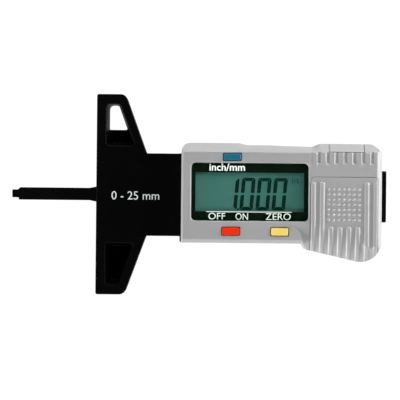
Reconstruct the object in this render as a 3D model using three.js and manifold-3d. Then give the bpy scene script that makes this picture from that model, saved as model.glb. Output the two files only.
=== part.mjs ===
// Digital tyre tread depth gauge: a T-shaped base that sits across the tread, a slide with a moulded probe
// that runs through it, and a display head clamped round the base's guide channel.
//
// Gauge coordinates, in millimetres: x along the probe with 0 on the measuring face, y across the base with 0
// on the probe's axis, z up from the back that the gauge lies on. The exported group moves this so that its
// origin is at the centre of the footprint. The gauge is drawn at its full reading, with the slide pushed
// home and the probe standing out by its whole travel.

import * as THREE from "three";
import { mergeVertices } from "three/addons/utils/BufferGeometryUtils.js";
import Module from "manifold-3d";

const wasm = await Module();
wasm.setup();

// ---------------------------------------------------------------- driving dimensions

const TRAVEL = 25.4; // full measuring range, one inch
const OVERALL_LENGTH = 112.3;
const BASE_WIDTH = 60.0;
const BASE_THICKNESS = 9.0;
const NECK_HALF = 12.37;
const WING_SLOPE = 0.366; // how far the wing's sloping edge comes in per millimetre outwards
const WING_ROOT_X = 15.05;

const HEAD = { x0: 25.5, x1: 85.2, faceZ: 14.0, seamZ: 3.35, plateZ: 12.2 };
const BEVEL = { left: 0.5, right: 1.5, lower: 1.0, top: 2.7 }; // how far the face drops at each edge
const TOP_BREAK_Y = 12.9; // where the front face turns into the top bevel
const LOWER_EDGE_Y = -14.2;
const BELLY = { x: 79.0, y: -13.35, r: 6.2, slope: 0.229, start: 57.5, roll: 8.5, drop: 2.6 };
const REAR_TOP = 3.25; // where the back cover ends, just short of the front housing

const SLIDE = { half: 7.3, z0: 3.0, z1: 6.0, front: 3.4, back: 85.45 };
const CHANNEL = { half: 7.75, rail: 9.0, z0: 1.7, floorZ: 2.85, z1: 6.3, back: 83.4 };
const WINDOW = { x0: 28.4, x1: 63.4, y0: -7.65, y1: 9.7, r: 1.4, ledgeZ: 12.7 };
const VIEW = { x0: 29.7, x1: 62.0, y0: -4.8, y1: 6.8 }; // the part that the mask leaves clear
const LCD = { x0: 29.3, x1: 62.1, y0: -6.9, y1: 8.9, z0: 10.2, z1: 12.1 };
const BOARD_Z = 6.6;
const BOARD_TOP = 7.6;
const ON_BOARD = 7.65; // where what stands on the board starts
const INNER_TOP = 12.4; // bosses and inner walls run up to here, just inside the face
const BAY = { x0: 63.9, x1: 84.0, y1: 5.7, r: 1.0 };
const BAY_FLOOR = { z0: 6.45, z1: 6.85 };
const PORT = { x0: 69.3, x1: 79.85, y0: 13.05, z0: 7.8 };
const BATTERY = { x: 74.0, y: -5.6, r: 5.8, z0: 7.15, height: 5.2 };
const RIB = { pitch: 2.65, width: 1.5, height: 0.35, first: 63.98, count: 8 };
const GROOVE = { first: 62.95, width: 1.5, depth: 0.33, y: 9.3, count: 8 };
const PLATE = { x0: 85.5, x1: 86.9, half: 7.7, z0: 1.4, z1: 8.2 };
const PLATE_SCREWS = { ys: [-4.5, 4.5], z: 4.3 };

const FIT = 0.1; // clearance round anything that slides or lifts out
const BEHIND = 90; // past the back end of everything, for cuts that run out through it
const BUTTONS = [
  { name: "unit_button", dome: "unit_dome", x: 40.6, y: 11.4, w: 5.0, h: 2.05, colour: 0x2a7fa0 },
  { name: "power_button", dome: "power_dome", x: 40.3, y: -10.65, w: 5.05, h: 2.2, colour: 0xf23a0c },
  { name: "zero_button", dome: "zero_dome", x: 54.8, y: -10.7, w: 5.05, h: 2.2, colour: 0xfad572 },
];
const HEAD_SCREWS = [
  { x: 29.2, y: 12.0, top: 8.4 },
  { x: 29.2, y: -11.2, top: 8.4 },
  { x: 82.0, y: 11.8, top: 8.4 },
  { x: 82.0, y: -12.6, top: 8.4 },
];
const BOARD_SCREWS = [
  { x: 34.0, y: 11.6 },
  { x: 58.5, y: 11.6 },
  { x: 47.5, y: -10.9 },
];

// ---------------------------------------------------------------- solids

// A closed three.js geometry as a manifold-3d solid.
function solid(geometry) {
  const bare = geometry.index ? geometry.toNonIndexed() : geometry.clone();
  bare.deleteAttribute("normal");
  bare.deleteAttribute("uv");
  const merged = mergeVertices(bare, 1e-4);
  return new wasm.Manifold(
    new wasm.Mesh({
      numProp: 3,
      vertProperties: merged.attributes.position.array,
      triVerts: new Uint32Array(merged.index.array),
    }),
  );
}

function box(x0, x1, y0, y1, z0, z1) {
  const g = new THREE.BoxGeometry(x1 - x0, y1 - y0, z1 - z0);
  return solid(g.translate((x0 + x1) / 2, (y0 + y1) / 2, (z0 + z1) / 2));
}

// A closed outline through [x, y, radius] corners, with each corner rounded by a quadratic curve.
function outline(corners) {
  const shape = new THREE.Shape();
  corners.forEach(([x, y, r = 0], i) => {
    const here = new THREE.Vector2(x, y);
    const toward = (other) => {
      const way = new THREE.Vector2(other[0], other[1]).sub(here);
      return here.clone().addScaledVector(way.normalize(), r);
    };
    const from = toward(corners.at(i - 1));
    const to = toward(corners[(i + 1) % corners.length]);
    if (i === 0) shape.moveTo(from.x, from.y);
    else shape.lineTo(from.x, from.y);
    if (r > 0) shape.quadraticCurveTo(x, y, to.x, to.y);
  });
  shape.closePath();
  return shape;
}

function rectangle(x0, x1, y0, y1, r = 0) {
  return outline([[x0, y0, r], [x1, y0, r], [x1, y1, r], [x0, y1, r]]);
}

// An outline in x and y, raised from z0 to z1.
function prism(shape, z0, z1, curveSegments = 5) {
  const g = new THREE.ExtrudeGeometry(shape, { depth: z1 - z0, bevelEnabled: false, curveSegments });
  return solid(g.translate(0, 0, z0));
}

function disc(x, y, r, z0, z1, sides = 20, topRadius = r) {
  const g = new THREE.CylinderGeometry(topRadius, r, z1 - z0, sides);
  return solid(g.rotateX(Math.PI / 2).translate(x, y, (z0 + z1) / 2));
}

// A round bar along x.
function rod(x0, x1, y, z, r, sides = 16, endRadius = r) {
  const g = new THREE.CylinderGeometry(endRadius, r, x1 - x0, sides);
  return solid(g.rotateZ(-Math.PI / 2).translate((x0 + x1) / 2, y, z));
}

// A body of revolution about the vertical through x, y, from [radius, z] points that start and end on it.
function turned(x, y, points, sides = 20) {
  const profile = points.map(([r, z]) => new THREE.Vector2(r, z));
  const g = new THREE.LatheGeometry(profile, sides);
  return solid(g.rotateX(Math.PI / 2).translate(x, y, 0));
}

const join = (...parts) => parts.reduce((a, b) => a.add(b));
const cut = (body, ...tools) => tools.reduce((a, b) => a.subtract(b), body);

// ---------------------------------------------------------------- the head's outer surface

const ease = (t) => {
  const u = Math.min(1, Math.max(0, t));
  return u * u * (3 - 2 * u);
};
const step = (x, x0, x1, y0, y1) => y0 + (y1 - y0) * ease((x - x0) / (x1 - x0));

// The silhouette's upper edge: a rounded corner, a shallow waist over the display and a cut back corner.
function upperEdge(x) {
  const r = 2.6;
  const corner = HEAD.x0 + r;
  if (x < corner) return 13.0 + Math.sqrt(Math.max(0, r * r - (corner - x) ** 2));
  if (x < 50) return step(x, 42.2, 45.6, 15.6, 15.05);
  if (x < 64) return 15.05 - 0.35 * ((x - 50) / 14);
  if (x < 82.5) return step(x, 64, 67, 14.7, 15.65);
  return 15.65 - 2.35 * ((x - 82.5) / (HEAD.x1 - 82.5));
}

// The silhouette's lower edge: straight under the display, then the thumb rest's belly and round corner.
function lowerEdge(x) {
  const touch = BELLY.x - BELLY.r * Math.sin(Math.atan(BELLY.slope));
  const touchY = BELLY.y - BELLY.r * Math.cos(Math.atan(BELLY.slope));
  if (x > touch) return BELLY.y - Math.sqrt(Math.max(0, BELLY.r ** 2 - (x - BELLY.x) ** 2));
  return step(x, 61.3, 62.9, LOWER_EDGE_Y, touchY + BELLY.slope * (touch - x));
}

// The front surface's height: a flat face that falls away at the edges, and rolls over at the belly.
function frontHeight(x, y) {
  const top = upperEdge(x);
  const topDrop = (BEVEL.top * (y - TOP_BREAK_Y)) / (top - TOP_BREAK_Y);
  const fromEdge = y - lowerEdge(x);
  const near = Math.max(0, 1 - fromEdge / BELLY.roll);
  const rollDrop = BELLY.drop * ease((x - BELLY.start) / 4.5) * near * near;
  const lowDrop = BEVEL.lower - fromEdge;
  const leftDrop = BEVEL.left - (x - HEAD.x0);
  const rightDrop = BEVEL.right - (HEAD.x1 - x);
  return HEAD.faceZ - Math.max(0, topDrop, rollDrop, lowDrop, leftDrop, rightDrop);
}

// The head as a solid block under its front surface, raised by lift, down to z0.
function headBlock(z0, lift = 0) {
  const xs = [
    HEAD.x0, 26.0, 26.7, 28.1, 42.2, 43.3, 44.5, 45.6, BELLY.start, 59.5, 61.3, 61.8, 62.35, 62.9, 64.9,
    67, 71, 75, 82.5, 83.7, HEAD.x1,
  ];
  for (let a = -13; a < 90; a += 13) xs.push(BELLY.x + BELLY.r * Math.sin((a * Math.PI) / 180));
  xs.sort((a, b) => a - b);
  const inward = [0, 1.0, 2.5, 5.0, BELLY.roll];
  const rows = inward.length + 2;
  const top = [];
  for (const x of xs) {
    const low = lowerEdge(x);
    const ys = [...inward.map((s) => low + s), TOP_BREAK_Y, upperEdge(x)];
    top.push(ys.map((y) => [x, y, frontHeight(x, y) + lift]));
  }
  const positions = [];
  const triangle = (...points) => positions.push(...points.flat());
  const quad = (a, b, c, d) => {
    triangle(a, b, c);
    triangle(a, c, d);
  };
  const floor = ([x, y]) => [x, y, z0];
  const last = xs.length - 1;
  for (let i = 0; i < last; i += 1) {
    for (let j = 0; j < rows - 1; j += 1) {
      const [a, b, c, d] = [top[i][j], top[i + 1][j], top[i + 1][j + 1], top[i][j + 1]];
      quad(a, b, c, d);
      quad(floor(a), floor(d), floor(c), floor(b));
    }
    quad(floor(top[i][0]), floor(top[i + 1][0]), top[i + 1][0], top[i][0]);
    quad(top[i][rows - 1], top[i + 1][rows - 1], floor(top[i + 1][rows - 1]), floor(top[i][rows - 1]));
  }
  for (let j = 0; j < rows - 1; j += 1) {
    quad(top[0][j], top[0][j + 1], floor(top[0][j + 1]), floor(top[0][j]));
    quad(floor(top[last][j]), floor(top[last][j + 1]), top[last][j + 1], top[last][j]);
  }
  const g = new THREE.BufferGeometry();
  g.setAttribute("position", new THREE.Float32BufferAttribute(positions, 3));
  return solid(g);
}

// The battery cover's outline, or the bay that it closes when grow is 0.
function bayShape(grow) {
  const { r } = BAY;
  const [x0, x1, y1] = [BAY.x0 - grow, BAY.x1 + grow, BAY.y1 + grow];
  return outline([[x0, -30], [x1, -30], [x1, y1, r], [x0, y1, r]]);
}

// ---------------------------------------------------------------- parts

const parts = [];
function part(name, body, colour, roughness = 0.5, metalness = 0) {
  const m = body.getMesh();
  const positions = new Float32Array(m.numVert * 3);
  for (let i = 0; i < m.numVert; i += 1) {
    const at = i * m.numProp;
    positions.set(m.vertProperties.subarray(at, at + 3), i * 3);
  }
  const g = new THREE.BufferGeometry();
  g.setAttribute("position", new THREE.BufferAttribute(positions, 3));
  g.setIndex(new THREE.BufferAttribute(new Uint32Array(m.triVerts), 1));
  const mesh = new THREE.Mesh(g, new THREE.MeshStandardMaterial({ color: colour, roughness, metalness }));
  mesh.name = name;
  parts.push(mesh);
}

const BLACK = 0x0c0c0d;
const SILVER = 0xb4b4b5;
const STEEL = 0xb9bcc0;
const NICKEL = 0xc9c3b4;

// The base: a T whose two wings straddle the tread, hollowed in front, with a hanging hole in one wing.
function baseFrame() {
  const half = BASE_WIDTH / 2;
  const edge = (y) => WING_ROOT_X - WING_SLOPE * (y - NECK_HALF);
  const side = (s) => [
    [0, s * half, 0.5],
    [edge(half), s * half, 1.8],
    [WING_ROOT_X, s * NECK_HALF, 0.3],
    [24.9, s * NECK_HALF],
  ];
  const plan = outline([...side(1), ...side(-1).reverse()]);
  const pockets = [1, -1].map((s) => {
    const corners = (inset, y0, y1, r) => [
      [2.75 + inset, s * y0, r],
      [edge(y0) - 2.85 - inset, s * y0, r],
      [edge(y1) - 2.85 - inset, s * y1, r],
      [2.75 + inset, s * y1, r],
    ];
    return pocket(corners(0, 14.2, 27.3, 0.6), corners(1.3, 14.9, 25.9, 0.6), 3.2, BASE_THICKNESS);
  });
  const hole = outline([[3.55, 19.45], [9.15, 19.45], [6.47, 26.8, 1.0], [3.55, 26.8, 1.2]]);
  const flange = rectangle(27.0, 31.4, -12.7, 13.5, 0.6);
  const body = join(
    prism(plan, 0, BASE_THICKNESS),
    box(24.5, 27.2, -NECK_HALF, NECK_HALF, CHANNEL.z0, BASE_THICKNESS),
    prism(flange, CHANNEL.z0, 3.3),
    box(27, CHANNEL.back, -CHANNEL.rail, CHANNEL.rail, CHANNEL.z0, CHANNEL.z1),
  );
  return cut(
    body,
    ...pockets,
    prism(hole, -1, BASE_THICKNESS + 1),
    box(3.2, BEHIND, -CHANNEL.half, CHANNEL.half, CHANNEL.floorZ, 6.2),
    box(27.2, BEHIND, -CHANNEL.half, CHANNEL.half, CHANNEL.floorZ, BASE_THICKNESS),
    box(-1, 4, -2.5, 2.5, CHANNEL.floorZ, 6.15),
    disc(80, 0, 1.05, 0, 4),
    ...HEAD_SCREWS.slice(0, 2).map((s) => disc(s.x, s.y, 1.1, 0, 4, 16)),
  );
}

// A tapered recess: one outline at the rim and a smaller one on its floor, with as many corners.
function pocket(rim, floor, z0, z1) {
  const loops = [floor, rim].map((corners) => outline(corners).getPoints(3).slice(0, -1));
  if (THREE.ShapeUtils.isClockWise(loops[0])) loops.forEach((loop) => loop.reverse());
  const count = loops[0].length;
  const heights = [z0, z1 + 0.01];
  const at = (level, i) => {
    const p = loops[level][i % count];
    return [p.x, p.y, heights[level]];
  };
  const positions = [];
  for (let i = 0; i < count; i += 1) {
    positions.push(...at(0, i), ...at(0, i + 1), ...at(1, i + 1));
    positions.push(...at(0, i), ...at(1, i + 1), ...at(1, i));
  }
  for (const [a, b, c] of THREE.ShapeUtils.triangulateShape(loops[0], [])) {
    positions.push(...at(0, a), ...at(0, c), ...at(0, b));
    positions.push(...at(1, a), ...at(1, b), ...at(1, c));
  }
  const g = new THREE.BufferGeometry();
  g.setAttribute("position", new THREE.Float32BufferAttribute(positions, 3));
  return solid(g);
}

// The slide: a flat bar that carries the scale, with the probe moulded on its front end.
function probeSlide() {
  const tip = -TRAVEL;
  const plan = outline([
    [tip, -1.2, 0.1], [tip + 1.95, -1.2], [tip + 1.95, -1.9, 0.1], [-2.1, -1.9], [0, -2.35],
    [SLIDE.front, -2.35], [SLIDE.front, -SLIDE.half, 0.8], [SLIDE.back, -SLIDE.half],
    [SLIDE.back, SLIDE.half], [SLIDE.front, SLIDE.half, 0.8], [SLIDE.front, 2.35],
    [0, 2.35], [-2.1, 1.9], [tip + 2.35, 1.9], [tip + 1.65, 1.2], [tip, 1.2, 0.1],
  ]);
  const stopPin = 80;
  return cut(
    prism(plan, SLIDE.z0, SLIDE.z1, 2),
    box(7.9, 84.1, -6.1, 6.1, 5.6, 7),
    prism(rectangle(stopPin - TRAVEL - 1.1, stopPin + 1.1, -1.15, 1.15, 1.1), 2, 4.4),
    ...PLATE_SCREWS.ys.map((y) => rod(79.7, BEHIND, y, PLATE_SCREWS.z, 0.72, 12)),
  );
}

// The plate that the thumb pushes the slide by, screwed to the slide's back end.
function thumbPlate() {
  const { x0, x1, half, z0, z1 } = PLATE;
  const plan = outline([
    [x0, -half, 0.2], [x1 - 0.3, -half, 0.4], [x1, -6.4],
    [x1, 6.9], [x1 - 0.25, half, 0.3], [x0, half, 0.2],
  ]);
  return cut(
    prism(plan, z0, z1, 3),
    ...PLATE_SCREWS.ys.map((y) => rod(x0 - 0.5, x1 + 0.4, y, PLATE_SCREWS.z, 0.72, 12)),
    ...PLATE_SCREWS.ys.map((y) => rod(x1 - 0.75, x1 + 0.3, y, PLATE_SCREWS.z, 0.72, 16, 1.72)),
  );
}

// A countersunk screw through the thumb plate, with a cross recess.
function plateScrew(y) {
  const { z } = PLATE_SCREWS;
  const back = PLATE.x1 - 0.1;
  return cut(
    join(rod(80.2, back - 0.5, y, z, 0.65, 12), rod(back - 0.55, back, y, z, 0.65, 16, 1.2)),
    box(back - 0.3, back + 1, y - 0.8, y + 0.8, z - 0.15, z + 0.15),
    box(back - 0.3, back + 1, y - 0.15, y + 0.15, z - 0.8, z + 0.8),
  );
}

// A bowed leaf between the slide and the channel's wall, that holds the slide where it is left.
function frictionSpring() {
  const leaf = outline([
    [50, 7.66], [52, 7.66], [58, 7.45], [64, 7.66], [66, 7.66],
    [66, 7.5], [64, 7.5], [58, 7.33], [52, 7.5], [50, 7.5],
  ]);
  return prism(leaf, 3.3, 5.9);
}

function frontHousing() {
  const z0 = HEAD.seamZ;
  const bayFloor = box(62.8, 84.4, -13.0, 7.2, BAY_FLOOR.z0, BAY_FLOOR.z1);
  const shell = cut(
    headBlock(z0),
    box(HEAD.x0 + 1.5, 62.8, -12.7, 13.4, 0, HEAD.plateZ),
    box(62.7, 83.8, 7.2, 13.4, 0, HEAD.plateZ),
    box(62.7, 84.1, -13.0, 7.3, 0, BAY_FLOOR.z0),
    prism(bayShape(0), 0, 20),
  );
  const ring = cut(
    disc(BATTERY.x, BATTERY.y, 6.8, BAY_FLOOR.z0, 11.4, 32),
    disc(BATTERY.x, BATTERY.y, 6.0, BAY_FLOOR.z1, 12, 32),
    box(66, 69.5, -9.0, -2.2, BAY_FLOOR.z1, 12),
  );
  const upperBosses = HEAD_SCREWS.slice(0, 3).map((s) => disc(s.x, s.y, 2.1, z0 + 0.05, INNER_TOP));
  const lowerBoss = HEAD_SCREWS.slice(3).map((s) =>
    disc(s.x, s.y, 2.0, z0 + 0.05, 9.8).add(box(83.5, 84.4, s.y - 1, s.y + 1, z0 + 0.05, 9.8)),
  );
  const boardBosses = BOARD_SCREWS.map((s) => disc(s.x, s.y, 1.6, ON_BOARD, INNER_TOP, 16));
  const body = join(
    shell,
    bayFloor,
    box(62.75, BAY.x0, -13.0, 7.2, BAY_FLOOR.z0, INNER_TOP),
    box(62.8, 84.1, 6.0, 7.2, BAY_FLOOR.z0, INNER_TOP),
    box(68.4, 81.1, 11.9, PORT.y0 + 0.4, BAY_FLOOR.z1, INNER_TOP),
    ring,
    ...upperBosses,
    ...lowerBoss,
    ...boardBosses,
  );
  return cut(
    body,
    box(HEAD.x0 - 1, 27.6, -NECK_HALF - 0.12, NECK_HALF + 0.12, 0, BASE_THICKNESS + 0.12),
    box(83, BEHIND, -SLIDE.half - 0.25, SLIDE.half + 0.25, 0, CHANNEL.z1),
    prism(rectangle(WINDOW.x0, WINDOW.x1, WINDOW.y0, WINDOW.y1, WINDOW.r), WINDOW.ledgeZ, 20),
    box(VIEW.x0 - 0.3, VIEW.x1 + 0.4, VIEW.y0 - 1.7, VIEW.y1 + 1.4, 11, 20),
    ...BUTTONS.map((b) => prism(buttonShape(b, 0.2), 11, 20, 3)),
    box(PORT.x0, PORT.x1, PORT.y0, 20, PORT.z0, 20),
    box(71.0, 78.5, 11, 14, 8.7, 11.5),
    box(BAY.x0 - 0.8, BAY.x1 + 0.6, -30, 5.0, 10.5, 11.5),
    ...HEAD_SCREWS.map((s) => disc(s.x, s.y, 0.95, 0, s.top + 0.2, 12)),
    ...BOARD_SCREWS.map((s) => disc(s.x, s.y, 0.72, 5, 10.8, 12)),
    ...gripFlutes(),
  );
}

// A button's outline, or its hole when grow is the gap round it.
function buttonShape(b, grow = 0) {
  const half = { x: b.w / 2 + grow, y: b.h / 2 + grow };
  return rectangle(b.x - half.x, b.x + half.x, b.y - half.y, b.y + half.y, 0.3);
}

// Short grooves across the head's back upper edge, for grip.
function gripFlutes() {
  return Array.from({ length: GROOVE.count }, (_, i) => {
    const x = GROOVE.first + i * RIB.pitch;
    return box(Math.max(x, BAY.x0), x + GROOVE.width, GROOVE.y, TOP_BREAK_Y, HEAD.faceZ - GROOVE.depth, 20);
  });
}

// The battery cover takes in the head's belly. It slides off downwards on two tongues.
function batteryCover() {
  const raised = headBlock(10, RIB.height);
  const ribs = Array.from({ length: RIB.count }, (_, i) => {
    const x = Math.max(RIB.first + i * RIB.pitch, BAY.x0 + 0.25);
    const end = Math.min(RIB.first + i * RIB.pitch + RIB.width, BAY.x1 - 0.25);
    const start = i < 2 || i > 5 ? 4.2 : -9.1;
    return raised.intersect(box(x, end, -18.2, start, 10, 20));
  });
  const skin = join(headBlock(HEAD.seamZ + 0.1), ...ribs).intersect(prism(bayShape(-FIT), 0, 20));
  const shell = cut(
    skin,
    box(60, 90, -12, 10, 0, 12.6),
    prism(bellyHollow(), 0, 10.8),
  );
  const { x0, x1 } = BAY;
  return join(
    shell,
    box(x0 + FIT, x0 + 1.1, -12.2, 4.6, 10.6, 12.8),
    box(x1 - 1.1, x1 - FIT, -12.2, 4.6, 10.6, 12.8),
    box(x0 - 0.65, x0 + 0.6, -10, 4.6, 10.6, 11.35),
    box(x1 - 0.6, x1 + 0.45, -10, 4.6, 10.6, 11.35),
  );
}

// The inside of the belly, 1.5 mm in from its lower edge.
function bellyHollow() {
  const shape = new THREE.Shape();
  shape.moveTo(60, -11.9);
  for (const x of [60, 63.9, 67, 71, 75, 77.6, 79.2, 80.8, 82.2, 83.3, 84.0]) {
    const inner = BELLY.r - 1.5;
    const arc = BELLY.y - Math.sqrt(Math.max(0, inner ** 2 - Math.max(0, x - BELLY.x) ** 2));
    shape.lineTo(x, x < BELLY.x ? Math.max(arc, lowerEdge(Math.max(x, 63.9)) + 1.5) : arc);
  }
  shape.lineTo(90, BELLY.y);
  shape.lineTo(90, -11.9);
  shape.closePath();
  return shape;
}

// The data port's cover: a corner of the bevel with a plug behind it.
function portCover() {
  const skin = headBlock(HEAD.seamZ).intersect(
    box(PORT.x0 + FIT, PORT.x1 - FIT, PORT.y0 + FIT, 20, PORT.z0 + FIT, 20),
  );
  return skin.add(box(71.2, 78.3, 11.2, 13.6, 8.9, 11.3));
}

// The back cover: a plate with a low rim that meets the front housing, with gaps for the neck and slide.
function rearCover() {
  const tray = cut(headBlock(-20), box(0, 100, -40, 40, REAR_TOP, 30), box(0, 100, -40, 40, -30, 0));
  return cut(
    join(
      tray,
      box(25.0, 26.0, -NECK_HALF - 0.3, NECK_HALF + 0.3, 0, 1.6),
      box(25.0, 26.0, LOWER_EDGE_Y, -12, 0, REAR_TOP),
    ),
    box(24, 28, -NECK_HALF - 0.1, NECK_HALF + 0.1, 1.6, 10),
    box(26.9, 62, -12.8, 13.6, 1.6, 10),
    box(62, 83.8, -14.6, 13.6, 1.6, 10),
    box(83, BEHIND, -SLIDE.half - 0.25, SLIDE.half + 0.25, 1.6, 10),
    ...HEAD_SCREWS.flatMap((s) => [disc(s.x, s.y, 1.1, -1, 4, 16), disc(s.x, s.y, 2.1, -1, 1.0)]),
  );
}

// A pan-headed self-tapping screw, from head at z0 up to tip, with a cross recess.
function screw(x, y, z0, headR, headH, shankR, tip) {
  const body = turned(x, y, [
    [0, z0], [headR * 0.8, z0], [headR, z0 + headH * 0.3], [headR, z0 + headH],
    [shankR, z0 + headH], [shankR, tip - 0.8], [0, tip],
  ], 16);
  const arm = headR * 0.55;
  const slot = shankR * 0.28;
  return cut(
    body,
    box(x - arm, x + arm, y - slot, y + slot, z0 - 1, z0 + headH * 0.55),
    box(x - slot, x + slot, y - arm, y + arm, z0 - 1, z0 + headH * 0.55),
  );
}

function circuitBoard() {
  const plan = outline([
    [27.7, -8.8], [31.6, -8.8], [31.6, -12.5], [62.6, -12.5], [62.6, 7.4], [79.6, 7.4], [79.6, 11.6],
    [62.6, 11.6], [62.6, 12.9], [31.6, 12.9], [31.6, 9.6], [27.7, 9.6],
  ]);
  return cut(prism(plan, BOARD_Z, BOARD_TOP), ...BOARD_SCREWS.map((s) => disc(s.x, s.y, 0.8, 6, 8, 12)));
}

// A push button: a cap that stands a little proud, a flange that keeps it in, and a stem down to its dome.
function button(b) {
  const rise = 0.35;
  return join(
    prism(buttonShape(b), 12, HEAD.faceZ + rise, 3),
    box(b.x - 3.1, b.x + 3.1, b.y - 1.4, b.y + 1.4, 11.3, HEAD.plateZ - 0.05),
    box(b.x - 1.4, b.x + 1.4, b.y - 0.8, b.y + 0.8, 8.6, 11.4),
  );
}

// A silicone key dome that stands on the board, just under its button's stem.
function dome(b) {
  const z0 = ON_BOARD;
  return turned(b.x, b.y, [[0, z0], [1.7, z0], [1.6, z0 + 0.25], [0.95, z0 + 0.85], [0, z0 + 0.85]], 16);
}

// The window's outline, as the window and its mask both fit it.
function windowShape() {
  const { x0, x1, y0, y1, r } = WINDOW;
  return rectangle(x0 + FIT, x1 - FIT, y0 + FIT, y1 - FIT, r);
}

function windowMask() {
  return cut(prism(windowShape(), 12.75, 12.9), box(VIEW.x0, VIEW.x1, VIEW.y0, VIEW.y1, 12, 14));
}

// The frame that holds the display cell over the board.
function lcdHolder() {
  return cut(
    box(28.3, 62.6, -7.8, 9.8, 8.2, LCD.z1),
    box(LCD.x0 - FIT, LCD.x1 + FIT, LCD.y0 - FIT, LCD.y1 + FIT, 8, 13),
  );
}

// The blob of resin over the chip.
function chipEncapsulant() {
  const z0 = ON_BOARD;
  return turned(45.5, 1.2, [[0, z0], [4, z0], [3.4, z0 + 0.55], [2.2, z0 + 0.95], [0, z0 + 1.1]]);
}

function dataPortConnector() {
  return join(box(71.6, 77.9, 8.4, 9.6, ON_BOARD, 10.2), box(71.6, 77.9, 9.5, 11.0, 9.0, 10.2));
}

function battery() {
  const { x, y, r, z0, height } = BATTERY;
  const z1 = z0 + height;
  const profile = [[0, z0], [4.9, z0], [5.1, z0 + 0.4], [r, z0 + 0.6], [r, z1 - 0.2], [r - 0.2, z1], [0, z1]];
  return turned(x, y, profile, 32);
}

// The leaf that presses on the cell's side.
function positiveContact() {
  return join(box(67.5, 67.7, -8.6, -2.6, 7.2, 11.2), box(67.5, 68.05, -7.2, -4.0, 8.6, 10.0));
}

// ---------------------------------------------------------------- base, covers and housing

part("base_frame", baseFrame(), BLACK, 0.55);
part("rear_cover", rearCover(), BLACK, 0.55);
part("front_housing", frontHousing(), SILVER, 0.42, 0.35);
part("battery_cover", batteryCover(), SILVER, 0.42, 0.35);
part("data_port_cover", portCover(), SILVER, 0.42, 0.35);

// ---------------------------------------------------------------- slide

part("probe_slide", probeSlide(), BLACK, 0.5);
part("scale_strip", box(8, 84, -6, 6, 5.65, 5.95), 0x2f5b3a, 0.45);
part("thumb_plate", thumbPlate(), BLACK, 0.5);
PLATE_SCREWS.ys.forEach((y, i) => part(`thumb_plate_screw_${i + 1}`, plateScrew(y), STEEL, 0.35, 0.9));
part("travel_stop_pin", disc(80, 0, 1.0, 1.75, 4.2), STEEL, 0.3, 0.9);
part("friction_spring", frictionSpring(), 0xb8793a, 0.35, 0.9);

// ---------------------------------------------------------------- display

part("display_window", prism(windowShape(), 12.95, 13.95), 0xdfe8e6, 0.05);
part("window_mask", windowMask(), 0x050806, 0.25);
part("lcd_glass", box(LCD.x0, LCD.x1, LCD.y0, LCD.y1, LCD.z0, LCD.z1), 0x4a7a70, 0.15);
part("lcd_holder", lcdHolder(), 0xd8d8d4, 0.5);
part("zebra_strip_upper", box(31, 60.5, 7.2, 8.7, ON_BOARD, LCD.z0 - 0.05), 0x3a3a40, 0.8);
part("zebra_strip_lower", box(31, 60.5, -6.7, -5.2, ON_BOARD, LCD.z0 - 0.05), 0x3a3a40, 0.8);

// ---------------------------------------------------------------- electronics

part("circuit_board", circuitBoard(), 0x1f5a35, 0.45);
part("chip_encapsulant", chipEncapsulant(), 0x0a0a0a, 0.35);
part("clock_crystal", rod(52, 58, 1.2, 8.7, 1.0), STEEL, 0.25, 0.95);
part("supply_capacitor", box(35, 38.2, 2.4, 4.0, ON_BOARD, 9.2), 0x8a6a3a, 0.5);
part("data_port_connector", dataPortConnector(), 0x15161a, 0.5);
part("battery", battery(), STEEL, 0.25, 0.95);
part("battery_contact_negative", box(68.6, 79, -6.4, -4.8, 6.9, 7.08), NICKEL, 0.3, 0.9);
part("battery_contact_positive", positiveContact(), NICKEL, 0.3, 0.9);
BUTTONS.forEach((b) => {
  part(b.name, button(b), b.colour, 0.4);
  part(b.dome, dome(b), 0xd9d9d2, 0.7);
});

// ---------------------------------------------------------------- screws

HEAD_SCREWS.forEach((s, i) => {
  part(`housing_screw_${i + 1}`, screw(s.x, s.y, 0.15, 1.9, 0.8, 0.85, s.top), STEEL, 0.35, 0.9);
});
BOARD_SCREWS.forEach((s, i) => {
  part(`board_screw_${i + 1}`, screw(s.x, s.y, 5.8, 1.2, 0.75, 0.62, 10.5), STEEL, 0.35, 0.9);
});

// ---------------------------------------------------------------- assembly

const gauge = new THREE.Group();
gauge.position.set(TRAVEL - OVERALL_LENGTH / 2, 0, 0);
gauge.add(...parts);
const assembly = new THREE.Group();
assembly.add(gauge);

export default assembly;
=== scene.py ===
"""Digital tyre tread depth gauge: its looks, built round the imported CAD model.

Shapes are written in gauge millimetres: x along the probe with 0 on the measuring face, y across the base
with 0 on the probe's axis, z up from the back that the gauge lies on. piece() puts each finished mesh in the
row's frame.
"""

import math

import bmesh
import bpy
import numpy as np
from mathutils import Matrix, Vector


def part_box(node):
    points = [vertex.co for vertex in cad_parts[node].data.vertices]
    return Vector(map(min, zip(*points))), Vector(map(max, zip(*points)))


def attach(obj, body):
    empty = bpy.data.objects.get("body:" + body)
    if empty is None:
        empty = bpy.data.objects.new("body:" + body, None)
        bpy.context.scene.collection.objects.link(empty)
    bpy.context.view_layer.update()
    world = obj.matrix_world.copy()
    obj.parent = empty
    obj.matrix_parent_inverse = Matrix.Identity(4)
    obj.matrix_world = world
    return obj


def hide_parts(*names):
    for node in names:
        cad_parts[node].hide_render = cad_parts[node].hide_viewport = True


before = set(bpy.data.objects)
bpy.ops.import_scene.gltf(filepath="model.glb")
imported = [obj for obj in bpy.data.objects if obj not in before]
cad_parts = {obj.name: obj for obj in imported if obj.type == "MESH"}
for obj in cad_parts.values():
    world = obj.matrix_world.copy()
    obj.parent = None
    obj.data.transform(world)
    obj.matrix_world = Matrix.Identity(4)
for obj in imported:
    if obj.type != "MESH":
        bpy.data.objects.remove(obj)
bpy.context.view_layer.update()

# ------------------------------------------------------------------ dimensions, in gauge millimetres

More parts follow.
